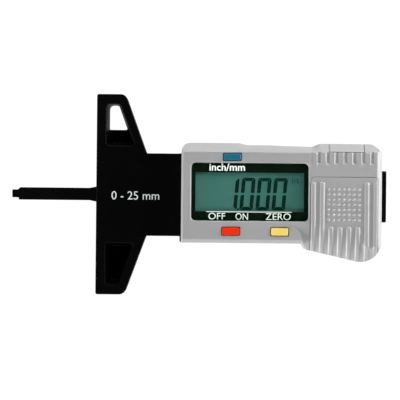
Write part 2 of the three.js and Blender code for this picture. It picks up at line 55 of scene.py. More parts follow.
MM = 0.001
FACE_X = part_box("base_frame")[0].x  # the measuring face, in metres in the row's frame


def gauge_box(node):
    """A CAD node's lowest and highest corner in gauge millimetres."""
    low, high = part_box(node)
    shift = Vector((FACE_X, 0, 0))
    return tuple((low - shift) / MM), tuple((high - shift) / MM)


BASE_TOP = gauge_box("base_frame")[1][2]
BASE_HALF = gauge_box("base_frame")[1][1]
NECK_HALF = 12.37
WING_ROOT_X = 15.05
WING_SLOPE = 0.366
TRAVEL = -gauge_box("probe_slide")[0][0]
SLIDE_Z = (gauge_box("probe_slide")[0][2], gauge_box("probe_slide")[1][2])
SLIDE_HALF = 7.3
SLIDE_FRONT = 3.4
SLIDE_BACK = gauge_box("probe_slide")[1][0]
CHANNEL_HALF = 7.75
CHANNEL_FLOOR = 2.85
CHANNEL_Z = (1.7, 6.3)
CHANNEL_BACK = 83.4
RAIL_HALF = 9
STOP_X = 80  # the pin that the slide's slot runs along
BEHIND = 90  # past the back end of everything, for cuts that run out through it

HEAD_X = (gauge_box("front_housing")[0][0], gauge_box("front_housing")[1][0])
FACE_Z = 14.0
SEAM_Z = gauge_box("front_housing")[0][2]
PLATE_Z = 12.2
INNER_TOP = 12.4  # bosses and inner walls run up to here, just inside the face
TOP_BREAK_Y = 12.9
TOP_BEVEL = 2.7
LOWER_EDGE_Y = -14.2
LEFT_BEVEL = 0.55
LOWER_BEVEL = 1.0
RIGHT_BEVEL = 1.5
CORNER_R = 2.6
BELLY = {"x": 79.0, "y": -13.35, "r": 6.2, "slope": 0.229, "start": 61.3}
ROLL = (8.5, 2.6)  # how far in the belly's roll starts, and how far it drops
EDGE_R = 0.3
REAR_TOP = 3.25
REAR_R = 0.6
REAR_FLOOR = 1.6

WINDOW = (28.4, 63.4, -7.65, 9.7)
WINDOW_R = 1.4
WINDOW_LEDGE = 12.7
VIEW = (29.7, 62.0, -4.8, 6.8)
BAY = (63.9, 84.0, -30.0, 5.7)
BAY_FLOOR = (6.45, 6.85)
PORT = (69.3, 79.85, 13.05)
PORT_Z = 7.8
CELL = {"x": 74.0, "y": -5.6, "r": 5.8}
RIB = {"pitch": 2.65, "width": 1.5, "height": 0.34, "slope": 0.36, "first": 63.98, "count": 8}
GROOVE = {"first": 62.95, "width": 1.5, "depth": 0.33, "y": 9.2, "count": 8}
DOT = {"x": 69.3, "y": 2.0, "pitch": 1.51, "r": 0.5, "height": 0.34, "count": 7}
FIT = 0.1  # the gap round anything that slides or lifts out
LIP = 0.17  # the radius of the edges along the seams

BUTTONS = {
    "unit_button": (40.6, 11.4, 5.0, 2.05),
    "power_button": (40.3, -10.65, 5.05, 2.2),
    "zero_button": (54.8, -10.7, 5.05, 2.2),
}
HEAD_SCREWS = [(29.2, 12.0), (29.2, -11.2), (82.0, 11.8), (82.0, -12.6)]
BOARD_SCREWS = [(34.0, 11.6), (58.5, 11.6), (47.5, -10.9)]
ON_BOARD = 7.65  # where what stands on the circuit board starts
PLATE_SCREW_Y = (-4.5, 4.5)
PLATE_SCREW_Z = 4.3

# ------------------------------------------------------------------ outlines


def rounded(corners, step=15):
    """A closed anticlockwise outline through (x, y, radius) corners, each rounded by an arc."""
    points = []
    for i, (x, y, r) in enumerate(corners):
        here = np.array((x, y), float)
        if r == 0:
            points.append(here)
            continue
        back = np.array(corners[i - 1][:2], float) - here
        on = np.array(corners[(i + 1) % len(corners)][:2], float) - here
        back /= np.linalg.norm(back)
        on /= np.linalg.norm(on)
        half = math.acos(np.clip(back @ on, -1, 1)) / 2
        middle = (back + on) / np.linalg.norm(back + on)
        centre = here + middle * r / math.sin(half)
        first = here + back * r / math.tan(half) - centre
        last = here + on * r / math.tan(half) - centre
        angle = math.atan2(first[1], first[0])
        sweep = (math.atan2(last[1], last[0]) - angle + math.pi) % math.tau - math.pi
        count = max(2, math.ceil(abs(math.degrees(sweep)) / step))
        for k in range(count + 1):
            a = angle + sweep * k / count
            points.append(centre + r * np.array((math.cos(a), math.sin(a))))
    return anticlockwise(np.array(points))


def anticlockwise(loop):
    x, y = loop.T
    area = np.sum(x * np.roll(y, -1) - np.roll(x, -1) * y)
    return loop if area > 0 else loop[::-1]


def rectangle(x0, x1, y0, y1, r=0.0):
    return rounded([(x0, y0, r), (x1, y0, r), (x1, y1, r), (x0, y1, r)])


def circle(x, y, r, sides=32):
    a = np.arange(sides) * math.tau / sides
    return np.stack([x + r * np.cos(a), y + r * np.sin(a)], 1)


def inset(loop, d):
    """The outline moved in by d, or out where d is negative."""
    way = np.roll(loop, -1, 0) - loop
    way /= np.linalg.norm(way, axis=1)[:, None]
    out = np.stack([way[:, 1], -way[:, 0]], 1)
    before = np.roll(out, 1, 0)
    mitre = (out + before) / (1 + np.sum(out * before, 1))[:, None]
    return loop - d * mitre


# ------------------------------------------------------------------ solids


def linked(name, data):
    obj = bpy.data.objects.new(name, data)
    bpy.context.collection.objects.link(obj)
    return obj


def solid(points, faces):
    """A closed mesh object in gauge millimetres, with its faces turned outwards."""
    mesh = bpy.data.meshes.new("solid")
    mesh.from_pydata(np.asarray(points, float).tolist(), [], faces)
    bm = bmesh.new()
    bm.from_mesh(mesh)
    bmesh.ops.remove_doubles(bm, verts=bm.verts, dist=1e-4)
    bmesh.ops.recalc_face_normals(bm, faces=bm.faces)
    bm.to_mesh(mesh)
    bm.free()
    return linked("solid", mesh)


def ring_faces(rows, n):
    """Quads between rings of n points, with a cap on the first and the last."""
    faces = []
    for j in range(rows - 1):
        for i in range(n):
            k = (i + 1) % n
            faces.append((j * n + i, j * n + k, (j + 1) * n + k, (j + 1) * n + i))
    faces.append(list(range(n))[::-1])
    faces.append([(rows - 1) * n + i for i in range(n)])
    return faces


def loft(rings):
    """A solid through closed rings of (x, y, z) points."""
    rings = np.array(rings, float)
    return solid(rings.reshape(-1, 3), ring_faces(rings.shape[0], rings.shape[1]))


def rim(loop, z, r, way):
    """Rings from a wall to the cap at z. A positive r rounds the edge, and a negative one flares a cutter."""
    if r == 0:
        return [np.column_stack([loop, np.full(len(loop), z)])]
    steps = 5 if abs(r) >= 0.25 else 3
    rings = []
    for k in range(steps + 1):
        t = math.pi / 2 * k / steps
        ring = inset(loop, math.copysign(abs(r) * (1 - math.cos(t)), r))
        rings.append(np.column_stack([ring, np.full(len(loop), z - way * abs(r) * (1 - math.sin(t)))]))
    if r < 0:
        rings.append(rings[-1] + (0, 0, way * 1.0))
    return rings


def prism(loop, z0, z1, low=0.0, high=0.0, top=None):
    """An outline raised from z0 to z1, with its lower and upper edges rounded or flared. top tapers it."""
    return loft(rim(loop, z0, low, -1)[::-1] + rim(loop if top is None else top, z1, high, 1))


def box(x0, x1, y0, y1, z0, z1, r=0.0):
    return prism(rectangle(x0, x1, y0, y1), z0, z1, r, r)


def disc(x, y, r, z0, z1, low=0.0, high=0.0, sides=32):
    return prism(circle(x, y, r, sides), z0, z1, low, high)


def turned(profile, sides=40):
    """A body of revolution about z from (radius, z) points, lowest first."""
    rings = [np.column_stack([circle(0, 0, max(r, 0.004), sides), np.full(sides, z)]) for r, z in profile]
    return loft(rings)


def moved(obj, x=0.0, y=0.0, z=0.0, turn=None):
    """The object's mesh turned and then moved, in gauge millimetres."""
    place = Matrix.Translation((x, y, z))
    obj.data.transform(place @ turn if turn else place)
    return obj


ALONG_X = Matrix.Rotation(math.pi / 2, 4, "Y")
TOWARDS_TYRE = Matrix.Rotation(-math.pi / 2, 4, "Y")


def combine(target, tool, operation):
    """Applies one boolean to target, and takes the tool away."""
    modifier = target.modifiers.new("combine", "BOOLEAN")
    modifier.object = tool
    modifier.operation = operation
    modifier.solver = "MANIFOLD"
    graph = bpy.context.evaluated_depsgraph_get()
    mesh = bpy.data.meshes.new_from_object(target.evaluated_get(graph))
    if not mesh.polygons:
        raise ValueError(f"{operation} left nothing")
    target.modifiers.clear()
    target.data = mesh
    bpy.data.objects.remove(tool)


def cut(target, *tools):
    for tool in tools:
        combine(target, tool, "DIFFERENCE")
    return target


def fuse(target, *tools):
    for tool in tools:
        combine(target, tool, "UNION")
    return target


def keep(target, *tools):
    for tool in tools:
        combine(target, tool, "INTERSECT")
    return target


# ------------------------------------------------------------------ the head's outer surface


def ease(t):
    t = np.clip(t, 0, 1)
    return t * t * (3 - 2 * t)


def ramp(s, w=0.2):
    """Zero below 0 and s above it, with the turn softened over w."""
    return 0.5 * (s + np.sqrt(s * s + w * w))


def sloped(inside, width):
    """From 0 to 1 over width in a straight slope, softened where it starts and ends."""
    return (ramp(inside, 0.06) - ramp(inside - width, 0.06)) / width


def hump_line(x):
    """The head's upper edge without its end corners: a shallow waist over the display."""
    waist = 15.6 - 0.55 * ease((x - 42.2) / 3.4) - 0.35 * np.clip((x - 50) / 14, 0, 1)
    return waist + 0.95 * ease((x - 64) / 3)


def upper_edge(x):
    corner = np.clip(HEAD_X[0] + CORNER_R - x, 0, CORNER_R)
    rounded_off = CORNER_R - np.sqrt(CORNER_R**2 - corner**2)
    return hump_line(x) - rounded_off - 0.87 * ramp(x - 82.5, 0.4)


def belly_line(x):
    """The straight, sloping part of the thumb rest's lower edge."""
    lean = math.atan(BELLY["slope"])
    touch_x = BELLY["x"] - BELLY["r"] * math.sin(lean)
    touch_y = BELLY["y"] - BELLY["r"] * math.cos(lean)
    return touch_y + BELLY["slope"] * (touch_x - x)


def lower_edge(x):
    t = ease((x - BELLY["start"]) / 1.5)
    straight = LOWER_EDGE_Y + (belly_line(x) - LOWER_EDGE_Y) * t
    reach = np.clip(x - BELLY["x"], 0, BELLY["r"])
    arc = BELLY["y"] - np.sqrt(BELLY["r"] ** 2 - reach**2)
    return np.where(x > BELLY["x"], arc, np.maximum(straight, BELLY["y"] - BELLY["r"]))


def slope_of(edge, x):
    return (edge(x + 1e-3) - edge(x - 1e-3)) / 2e-3


def belly_roll(x, y):
    """How far the surface drops as it rolls over the thumb rest's belly."""
    lean = math.atan(BELLY["slope"])
    dx, dy = x - BELLY["x"], y - BELLY["y"]
    turn = np.arctan2(dx, -dy)
    to_line = (y - belly_line(x)) * math.cos(lean)
    to_arc = BELLY["r"] - np.hypot(dx, dy)
    inside = np.where(turn < -lean, to_line, np.where(turn > math.pi / 2, HEAD_X[1] - x, to_arc))
    side = ease((turn - 0.1) / 1.3)
    width = ROLL[0] + (RIGHT_BEVEL - ROLL[0]) * side
    drop = ROLL[1] + (RIGHT_BEVEL - ROLL[1]) * side
    share = np.clip(1 - inside / width, 0, 1)
    return drop * share**2 * ease((x - 57.5) / 4.5)


def rounding(d, r):
    """The drop that rounds an edge of radius r, at distance d from it."""
    t = np.clip(r - d, 0, r)
    return r - np.sqrt(r * r - t * t)


def box_distance(x, y, x0, x1, y0, y1, r):
    """Signed distance from a rectangle with rounded corners, negative inside."""
    ax = np.abs(x - (x0 + x1) / 2) - (x1 - x0) / 2 + r
    ay = np.abs(y - (y0 + y1) / 2) - (y1 - y0) / 2 + r
    return np.hypot(np.maximum(ax, 0), np.maximum(ay, 0)) + np.minimum(np.maximum(ax, ay), 0) - r


def seam_lips(x, y):
    """Rounded lips on both sides of the seams round the battery cover and the data port's cover."""
    bay = np.abs(box_distance(x, y, *BAY, 1.0) + FIT / 2) - FIT / 2
    port = np.abs(box_distance(x, y, PORT[0], PORT[1], PORT[2], 40, 0) + FIT / 2) - FIT / 2
    return np.maximum(rounding(np.maximum(bay, 0), LIP), rounding(np.maximum(port, 0), LIP))


def grip_grooves(x, y):
    """The depth below the face of the short grooves across the back upper edge."""
    along = (x - GROOVE["first"]) % RIB["pitch"]
    inside = np.minimum(along, GROOVE["width"] - along)
    number = np.floor((x - GROOVE["first"]) / RIB["pitch"])
    held = (number >= 0) & (number < GROOVE["count"])
    inside = np.minimum(inside, x - BAY[0])
    return GROOVE["depth"] * sloped(inside, 0.3) * ease((y - GROOVE["y"]) / 0.8) * held


def edge_distance(x, y):
    """How far inside the head's outline a place is."""
    ways = [
        (upper_edge(x) - y) / np.hypot(1, slope_of(upper_edge, x)),
        (y - lower_edge(x)) / np.hypot(1, slope_of(lower_edge, x)),
        x - HEAD_X[0],
        HEAD_X[1] - x,
    ]
    return np.maximum(np.minimum.reduce(ways), 0)


def head_height(x, y, thumb_rest=True):
    """The height of the head's front surface above the plane that the gauge lies on."""
    low_bevel = ramp(LOWER_BEVEL - (y - lower_edge(x)), 0.12)
    bevels = [
        TOP_BEVEL / (hump_line(x) - TOP_BREAK_Y) * ramp(y - TOP_BREAK_Y, 0.16),
        ramp(LEFT_BEVEL - (x - HEAD_X[0]), 0.12),
        ramp(RIGHT_BEVEL - (HEAD_X[1] - x), 0.16),
        low_bevel * (1 - ease((x - 60.9) / 0.8)) if thumb_rest else low_bevel,
        belly_roll(x, y) if thumb_rest else 0 * x,
        grip_grooves(x, y),
    ]
    drop = np.maximum.reduce(bevels) + rounding(edge_distance(x, y), EDGE_R)
    return FACE_Z - drop - seam_lips(x, y)


def thumb_ribs(x, y):
    """The height of the battery cover's ribs. The four in the middle start below the dots."""
    lift = np.zeros_like(x)
    for i in range(RIB["count"]):
        x0 = RIB["first"] + i * RIB["pitch"]
        start = -9.1 if 2 <= i <= 5 else 4.2
        inside = -box_distance(x, y, x0, x0 + RIB["width"], -60, start, 0.45)
        lift = np.maximum(lift, RIB["height"] * sloped(inside, RIB["slope"]))
    return lift


def spread(*stops):
    """Positions from (start, end, steps) stretches, without repeats."""
    found = np.concatenate([np.linspace(a, b, n + 1) for a, b, n in stops])
    return np.unique(np.round(found, 5))


def near(*places, reach=0.2, steps=4):
    """Close positions on both sides of each place."""
    return np.concatenate([np.linspace(p - reach, p + reach, 2 * steps + 1) for p in places])


ARC = 1 - np.cos(np.linspace(0, math.pi / 2, 6))  # shares of a rounded edge's width, closest at the edge


def field_block(xs, ys_at, z0, height, flip=None):
    """A closed block from z0 up to height(x, y). flip turns it over, so that z becomes flip - z."""
    grid = np.array([[(x, y) for y in ys_at(x)] for x in xs])
    columns, rows = grid.shape[:2]
    x, y = grid[..., 0], grid[..., 1]
    top = np.stack([x, y, height(x, y)], -1).reshape(-1, 3)
    index = np.arange(columns * rows).reshape(columns, rows)
    a, b, c, d = index[:-1, :-1], index[1:, :-1], index[1:, 1:], index[:-1, 1:]
    faces = np.stack([a, b, c, d], -1).reshape(-1, 4).tolist()
    edge = np.concatenate([index[:, 0], index[-1, 1:], index[-2::-1, -1], index[0, -2:0:-1]])
    base = top[edge]
    base[:, 2] = z0
    first = len(top)
    for i in range(len(edge)):
        k = (i + 1) % len(edge)
        faces.append((int(edge[k]), int(edge[i]), first + i, first + k))
    faces.append([first + i for i in range(len(edge))])
    points = np.concatenate([top, base])
    if flip is not None:
        points[:, 2] = flip - points[:, 2]
    return solid(points, faces)


def head_rows(x):
    """Rows across the whole head at x: close together on its edges, bevels and rolls."""
    low, high = float(lower_edge(x)), float(upper_edge(x))
    return np.concatenate(
        [
            low + EDGE_R * ARC,
            np.linspace(low + EDGE_R, -8.0, 27)[1:],
            spread((-8, 5.3, 5), (5.4, 6.0, 8), (6, 9.4, 3), (9.5, 10.5, 7), (10.5, 12.3, 3))[1:],
            np.linspace(12.3, high - EDGE_R, 25)[1:],
            (high - EDGE_R * ARC)[::-1][1:],
        ]
    )


def head_columns():
    """Columns along the whole head: close together at its corners, seams and grooves."""
    x0, x1 = HEAD_X
    grooves = [GROOVE["first"] + i * RIB["pitch"] for i in range(GROOVE["count"])]
    grooves += [g + GROOVE["width"] for g in grooves]
    found = np.concatenate(
        [
            x0 + EDGE_R * ARC,
            x0 + CORNER_R * (1 - np.cos(np.linspace(0, math.pi / 2, 14))),
            spread((x0 + 0.3, x0 + 0.8, 6), (x0 + CORNER_R, 42.2, 6), (42.2, 45.6, 8), (45.6, 56, 5)),
            spread((56, 64, 36), (64, 82.3, 8), (82.3, 83.4, 8), (83.4, x1 - EDGE_R, 9)),
            near(*grooves, reach=0.32, steps=3),
            near(BAY[0], BAY[1] - FIT / 2, PORT[0], PORT[1], reach=0.15, steps=3),
            x1 - EDGE_R * ARC,
        ]
    )
    return np.unique(np.round(found, 3))


def rear_height(x, y):
    return REAR_TOP - rounding(edge_distance(x, y), REAR_R)


def rear_rows(x):
    low, high = float(lower_edge(x)), float(upper_edge(x))
    middle = np.linspace(low + REAR_R, high - REAR_R, 9)[1:-1]
    return np.concatenate([low + REAR_R * ARC, middle, (high - REAR_R * ARC)[::-1]])


def rear_columns():
    x0, x1 = HEAD_X
    found = np.concatenate(
        [
            x0 + REAR_R * ARC,
            x0 + CORNER_R * (1 - np.cos(np.linspace(0, math.pi / 2, 12))),
            spread((x0 + CORNER_R, 42.2, 3), (42.2, 45.6, 6), (45.6, 60.6, 4), (61, 63.2, 14)),
            spread((63.2, 67.2, 8), (67.2, 77, 5), (77, 82, 12), (82, x1 - REAR_R, 10)),
            x1 - REAR_R * ARC,
        ]
    )
    return np.unique(np.round(found, 3))


# ------------------------------------------------------------------ materials


def node_material(name):
    material = bpy.data.materials.new(name)
    material.use_nodes = True
    tree = material.node_tree
    return material, tree, tree.nodes["Principled BSDF"]


def add(tree, kind, inputs=None, **settings):
    node = tree.nodes.new(kind)
    for key, value in settings.items():
        setattr(node, key, value)
    for key, value in (inputs or {}).items():
        if isinstance(value, bpy.types.NodeSocket):
            tree.links.new(value, node.inputs[key])
        else:
            node.inputs[key].default_value = value
    return node


def noise(tree, size, detail=2.0, stretch=(1, 1, 1)):
    """Noise whose features are about size millimetres across, as a 0 to 1 socket."""
    place = add(tree, "ShaderNodeTexCoord").outputs["Object"]
    mapped = add(tree, "ShaderNodeMapping", {"Vector": place, "Scale": stretch})
    inputs = {"Vector": mapped.outputs[0], "Scale": 1 / (size * MM), "Detail": detail}
    return add(tree, "ShaderNodeTexNoise", inputs).outputs["Fac"]


def between(tree, factor, low, high):
    """A socket that runs from low to high as factor runs from 0.3 to 0.7."""
    inputs = {"Value": factor, "From Min": 0.3, "From Max": 0.7, "To Min": low, "To Max": high}
    return add(tree, "ShaderNodeMapRange", inputs).outputs[0]


def blend_colour(tree, factor, a, b):
    node = add(tree, "ShaderNodeMix", data_type="RGBA")
    tree.links.new(factor, node.inputs["Factor"])
    node.inputs["A"].default_value = (*a, 1)
    node.inputs["B"].default_value = (*b, 1)
    return node.outputs["Result"]


def tint(tree, shader, factor, a, b):
    tree.links.new(blend_colour(tree, factor, a, b), shader.inputs["Base Color"])


def roughen(tree, shader, factor, low, high):
    tree.links.new(between(tree, factor, low, high), shader.inputs["Roughness"])


def multiplied(tree, a, b):
    node = add(tree, "ShaderNodeMix", data_type="RGBA", blend_type="MULTIPLY")
    tree.links.new(a, node.inputs["A"])
    tree.links.new(b, node.inputs["B"])
    node.inputs["Factor"].default_value = 1.0
    return node.outputs["Result"]


def bumped(tree, shader, *layers):
    """Adds bumps from (socket, height in millimetres) layers."""
    normal = None
    for height, depth in layers:
        bump = add(tree, "ShaderNodeBump", {"Height": height, "Strength": 1.0, "Distance": depth * MM})
        if normal is not None:
            tree.links.new(normal, bump.inputs["Normal"])
        normal = bump.outputs[0]
    tree.links.new(normal, shader.inputs["Normal"])


def set_sockets(shader, **values):
    for key, value in values.items():
        shader.inputs[key.replace("_", " ")].default_value = value


def moulded(name, dark, light, rough=(0.4, 0.5), grain=0.35, depth=0.004, specular=0.5):
    """Injection-moulded plastic: fine spark-eroded grain, with faint tone and gloss changes."""
    material, tree, shader = node_material(name)
    set_sockets(shader, Specular_IOR_Level=specular)
    tone = noise(tree, 6.0, 3.0)
    tint(tree, shader, between(tree, tone, 0, 1), dark, light)
    fine = noise(tree, grain, 2.0)
    roughen(tree, shader, fine, *rough)
    bumped(tree, shader, (fine, depth), (noise(tree, 3.0), depth * 2))
    return material


def silver_paint():
    """Satin silver-grey paint: fine aluminium flake, light orange peel and a few rubbed streaks."""
    material, tree, shader = node_material("silver_paint")
    set_sockets(shader, Metallic=0.14, Specular_IOR_Level=0.4, Coat_Weight=0.06, Coat_Roughness=0.35)
    place = add(tree, "ShaderNodeTexCoord").outputs["Object"]
    flake = add(tree, "ShaderNodeTexVoronoi", {"Vector": place, "Scale": 1 / (0.09 * MM)})
    sparkle = add(tree, "ShaderNodeSeparateColor", {"Color": flake.outputs["Color"]}).outputs[0]
    base = blend_colour(tree, sparkle, (0.42, 0.42, 0.422), (0.475, 0.475, 0.478))
    cloud = between(tree, noise(tree, 9.0, 3.0), 0.0, 1.0)
    clouds = blend_colour(tree, cloud, (0.97, 0.97, 0.97), (1, 1, 1))
    tree.links.new(multiplied(tree, base, clouds), shader.inputs["Base Color"])
    streak = noise(tree, 0.8, 2.0, stretch=(0.08, 1, 1))
    roughen(tree, shader, streak, 0.4, 0.52)
    bumped(tree, shader, (noise(tree, 0.5), 0.002), (noise(tree, 2.5), 0.006))
    return material


def brushed(name, colour):
    """Drawn or rolled bright metal: fine lines one way, and a faint dulling in patches."""
    material, tree, shader = node_material(name)
    set_sockets(shader, Metallic=1.0)
    lines = noise(tree, 1.2, 3.0, stretch=(1, 14, 14))
    dull = tuple(c * 0.86 for c in colour)
    patches = between(tree, noise(tree, 2.0), 0, 1)
    tint(tree, shader, patches, dull, colour)
    roughen(tree, shader, lines, 0.22, 0.36)
    bumped(tree, shader, (lines, 0.002))
    return material


def clear_acrylic():
    """The polished window: clear, with a hint of green and hairline rubbing."""
    material, tree, shader = node_material("clear_acrylic")
    set_sockets(shader, Base_Color=(0.93, 0.97, 0.95, 1), Transmission_Weight=1.0, IOR=1.49)
    hairs = noise(tree, 0.5, 2.0, stretch=(0.05, 1, 1))
    roughen(tree, shader, hairs, 0.01, 0.04)
    return material


def display_cell():
    """A reflective display cell: grey-green, with painted shade that makes it lighter on the left and darker
    towards the right, and its polariser's fine mottle.
    """
    material, tree, shader = node_material("display_cell")
    set_sockets(shader, Specular_IOR_Level=0.3)
    place = add(tree, "ShaderNodeTexCoord").outputs["Object"]
    # painted shade: the colour runs from lighter at the cell's left end to darker at its right end
    along = add(tree, "ShaderNodeSeparateXYZ", {"Vector": place}).outputs["X"]
    low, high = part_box("lcd_glass")
    span = {"Value": along, "From Min": low.x, "From Max": high.x, "To Min": 0.0, "To Max": 1.0}
    across = add(tree, "ShaderNodeMapRange", span).outputs[0]
    ground = blend_colour(tree, across, (0.044, 0.139, 0.121), (0.03, 0.116, 0.098))
    patches = between(tree, noise(tree, 3.5, 4.0), 0, 1)
    mottle = blend_colour(tree, patches, (0.9, 0.94, 0.97), (1.08, 1.04, 1.0))
    tree.links.new(multiplied(tree, ground, mottle), shader.inputs["Base Color"])
    roughen(tree, shader, noise(tree, 0.2), 0.32, 0.42)
    return material


def printed(name, colour, thin, specular=0.2):
    """Screen-printed ink: slightly uneven cover over fine dots."""
    material, tree, shader = node_material(name)
    set_sockets(shader, Specular_IOR_Level=specular)
    cover = between(tree, noise(tree, 0.15, 3.0), 0, 1)
    tint(tree, shader, cover, thin, colour)
    roughen(tree, shader, noise(tree, 0.4), 0.5, 0.65)
    return material


def board_material():
    """Green solder mask over copper tracks, which show as slightly lighter raised paths."""
    material, tree, shader = node_material("solder_mask")
    place = add(tree, "ShaderNodeTexCoord").outputs["Object"]
    cells = add(tree, "ShaderNodeTexBrick", {"Vector": place, "Scale": 1 / (3.0 * MM), "Mortar Size": 0.06})
    track = cells.outputs["Fac"]
    tint(tree, shader, track, (0.012, 0.11, 0.04), (0.03, 0.2, 0.07))
    roughen(tree, shader, noise(tree, 0.8), 0.25, 0.38)
    bumped(tree, shader, (track, 0.03), (noise(tree, 0.6), 0.004))
    return material


def rubber(name, dark, light):
    """Silicone or carbon-loaded rubber: matt, with a bloom of fine dust."""
    material, tree, shader = node_material(name)
    set_sockets(shader, Sheen_Weight=0.25, Sheen_Roughness=0.5, Specular_IOR_Level=0.3)
    stripes = between(tree, noise(tree, 0.5, 2.0, stretch=(6, 1, 1)), 0, 1)
    tint(tree, shader, stripes, dark, light)
    roughen(tree, shader, noise(tree, 0.3), 0.6, 0.8)
    bumped(tree, shader, (noise(tree, 0.3), 0.006))
    return material


BLACK = moulded("black_abs", (0.0009, 0.0009, 0.001), (0.0017, 0.0017, 0.0018), (0.4, 0.5), specular=0.06)
BLACK_SLIDE = moulded(
    "black_acetal", (0.0015, 0.0015, 0.0015), (0.0026, 0.0026, 0.0026), (0.36, 0.46), 0.25, 0.003, 0.08
)
SILVER = silver_paint()
BLUE = moulded("blue_key", (0.01, 0.14, 0.24), (0.018, 0.18, 0.28), (0.3, 0.4), 0.3, 0.002, specular=0.35)
RED = moulded("red_key", (0.95, 0.022, 0.001), (0.99, 0.032, 0.002), (0.35, 0.45), 0.3, 0.002, specular=0.25)
YELLOW = moulded("yellow_key", (0.99, 0.7, 0.14), (1.0, 0.76, 0.17), (0.35, 0.45), 0.3, 0.002)
WHITE = moulded("white_abs", (0.68, 0.68, 0.64), (0.76, 0.76, 0.73), (0.4, 0.5))
EPOXY = moulded("black_epoxy", (0.006, 0.006, 0.007), (0.012, 0.012, 0.013), (0.15, 0.3), 0.8, 0.004)
CERAMIC = moulded("brown_ceramic", (0.26, 0.15, 0.06), (0.36, 0.22, 0.1), (0.4, 0.6), 0.2, 0.004)
CLEAR = clear_acrylic()
MASK = printed("mask_ink", (0.001, 0.006, 0.002), (0.0016, 0.0075, 0.0028), 0.02)
CELL_FACE = display_cell()
SEGMENT_INK = printed("segment_ink", (0.002, 0.014, 0.009), (0.003, 0.02, 0.013), specular=0.02)
FAINT_INK = printed("faint_segment_ink", (0.01, 0.05, 0.04), (0.015, 0.06, 0.048), specular=0.02)
WHITE_INK = printed("white_ink", (0.9, 0.96, 0.92), (0.8, 0.87, 0.83))
BOARD = board_material()
CARBON = rubber("carbon_rubber", (0.02, 0.02, 0.022), (0.3, 0.3, 0.3))
SILICONE = rubber("silicone", (0.5, 0.5, 0.46), (0.62, 0.62, 0.58))
STEEL = brushed("bright_steel", (0.62, 0.62, 0.64))
NICKEL = brushed("nickel_strip", (0.66, 0.62, 0.54))
BRONZE = brushed("spring_bronze", (0.62, 0.36, 0.16))

# ------------------------------------------------------------------ making a piece of the model

SHARP_DEGREES = 32  # edges that turn by less are shaded smooth


def piece(name, obj, body, material):
    """Names a finished mesh, moves it to the row's frame and gives it its material and body."""
    obj.name = name
    obj.data.name = name
    bm = bmesh.new()
    bm.from_mesh(obj.data)
    bmesh.ops.remove_doubles(bm, verts=bm.verts, dist=2e-3)
    bmesh.ops.dissolve_degenerate(bm, edges=bm.edges, dist=1e-3)
    bmesh.ops.recalc_face_normals(bm, faces=bm.faces)
    bm.to_mesh(obj.data)
    bm.free()
    obj.data.transform(Matrix.Translation((FACE_X, 0, 0)) @ Matrix.Scale(MM, 4))
    obj.data.shade_smooth()
    obj.data.set_sharp_from_angle(angle=math.radians(SHARP_DEGREES))
    weighted = obj.modifiers.new("weighted_normals", "WEIGHTED_NORMAL")
    weighted.keep_sharp = True
    obj.data.materials.clear()
    obj.data.materials.append(material)
    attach(obj, body)


def replace(node, obj, body, material):
    """Puts a finished mesh in a CAD node's place."""
    piece(node + "_shape", obj, body, material)
    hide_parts(node)


def dress(node, material, edge=0.0):
    """Keeps a CAD node, with its own material and slightly rounded edges."""
    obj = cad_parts[node]
    obj.data.materials.clear()
    obj.data.materials.append(material)
    if edge:
        bevel = obj.modifiers.new("edges", "BEVEL")
        bevel.width = edge * MM
        bevel.segments = 2
        bevel.limit_method = "ANGLE"
        bevel.angle_limit = math.radians(35)
        obj.modifiers.new("weighted_normals", "WEIGHTED_NORMAL")


# ------------------------------------------------------------------ base


def wing_edge(y):
    return WING_ROOT_X - WING_SLOPE * (abs(y) - NECK_HALF)


def base_outline():
    def side(s):
        return [
            (0, s * BASE_HALF, 0.6),
            (wing_edge(BASE_HALF), s * BASE_HALF, 2.2),
            (WING_ROOT_X, s * NECK_HALF, 0.5),
            (24.9, s * NECK_HALF, 0.0),
        ]

    return rounded(side(1) + side(-1)[::-1], step=10)


def wing_pocket(s):
    """A hollow in a wing's front, with drafted walls, a rounded floor and a rounded rim."""

    def corners(draft, y0, y1, r):
        left, right = 2.85 + draft, 2.7 + draft
        return rounded(
            [
                (left, s * y0, r),
                (wing_edge(y0) - right, s * y0, r),
                (wing_edge(y1) - right, s * y1, r),
                (left, s * y1, r),
            ],
            step=18,
        )

    return prism(corners(1.3, 15.2, 26.0, 0.7), 3.2, BASE_TOP, 0.5, -0.3, corners(0, 14.6, 27.0, 0.9))


def hang_hole():
    loop = rounded([(3.6, 19.45, 0.25), (9.15, 19.45, 0.25), (6.47, 26.85, 1.1), (3.6, 26.85, 1.3)], step=12)
    return prism(loop, 0.0, BASE_TOP, -0.35, -0.3)


def make_base():
    body = prism(base_outline(), 0, BASE_TOP, 0.45, 0.35)
    fuse(
        body,
        box(24.4, 27.2, -NECK_HALF, NECK_HALF, CHANNEL_Z[0], BASE_TOP),
        prism(rectangle(27.0, 31.4, -12.7, 13.5, 0.6), CHANNEL_Z[0], 3.3),
        box(27, CHANNEL_BACK, -RAIL_HALF, RAIL_HALF, *CHANNEL_Z),
    )
    # Open fault: TOWARDS_TYRE turns x into the height, so these cutters pass below the base and cut nothing.
    # The wall that the probe runs through stays closed here. The CAD's base_frame is open there.
    probe_hole = rectangle(-6.15, -2.85, -2.5, 2.5, 0.5)
    cut(
        body,
        wing_pocket(1),
        wing_pocket(-1),
        hang_hole(),
        box(3.2, BEHIND, -CHANNEL_HALF, CHANNEL_HALF, CHANNEL_FLOOR, 6.2),
        box(27.2, BEHIND, -CHANNEL_HALF, CHANNEL_HALF, 2.8, 12),
        moved(prism(probe_hole, -1, 0.35, 0, -0.35), turn=TOWARDS_TYRE),
        moved(prism(probe_hole, -4, 0.2), turn=TOWARDS_TYRE),
        disc(STOP_X, 0, 1.05, 0, 4),
        *[disc(x, y, 1.1, 0, 5) for x, y in HEAD_SCREWS[:2]],
    )
    replace("base_frame", body, "gauge_body", BLACK)


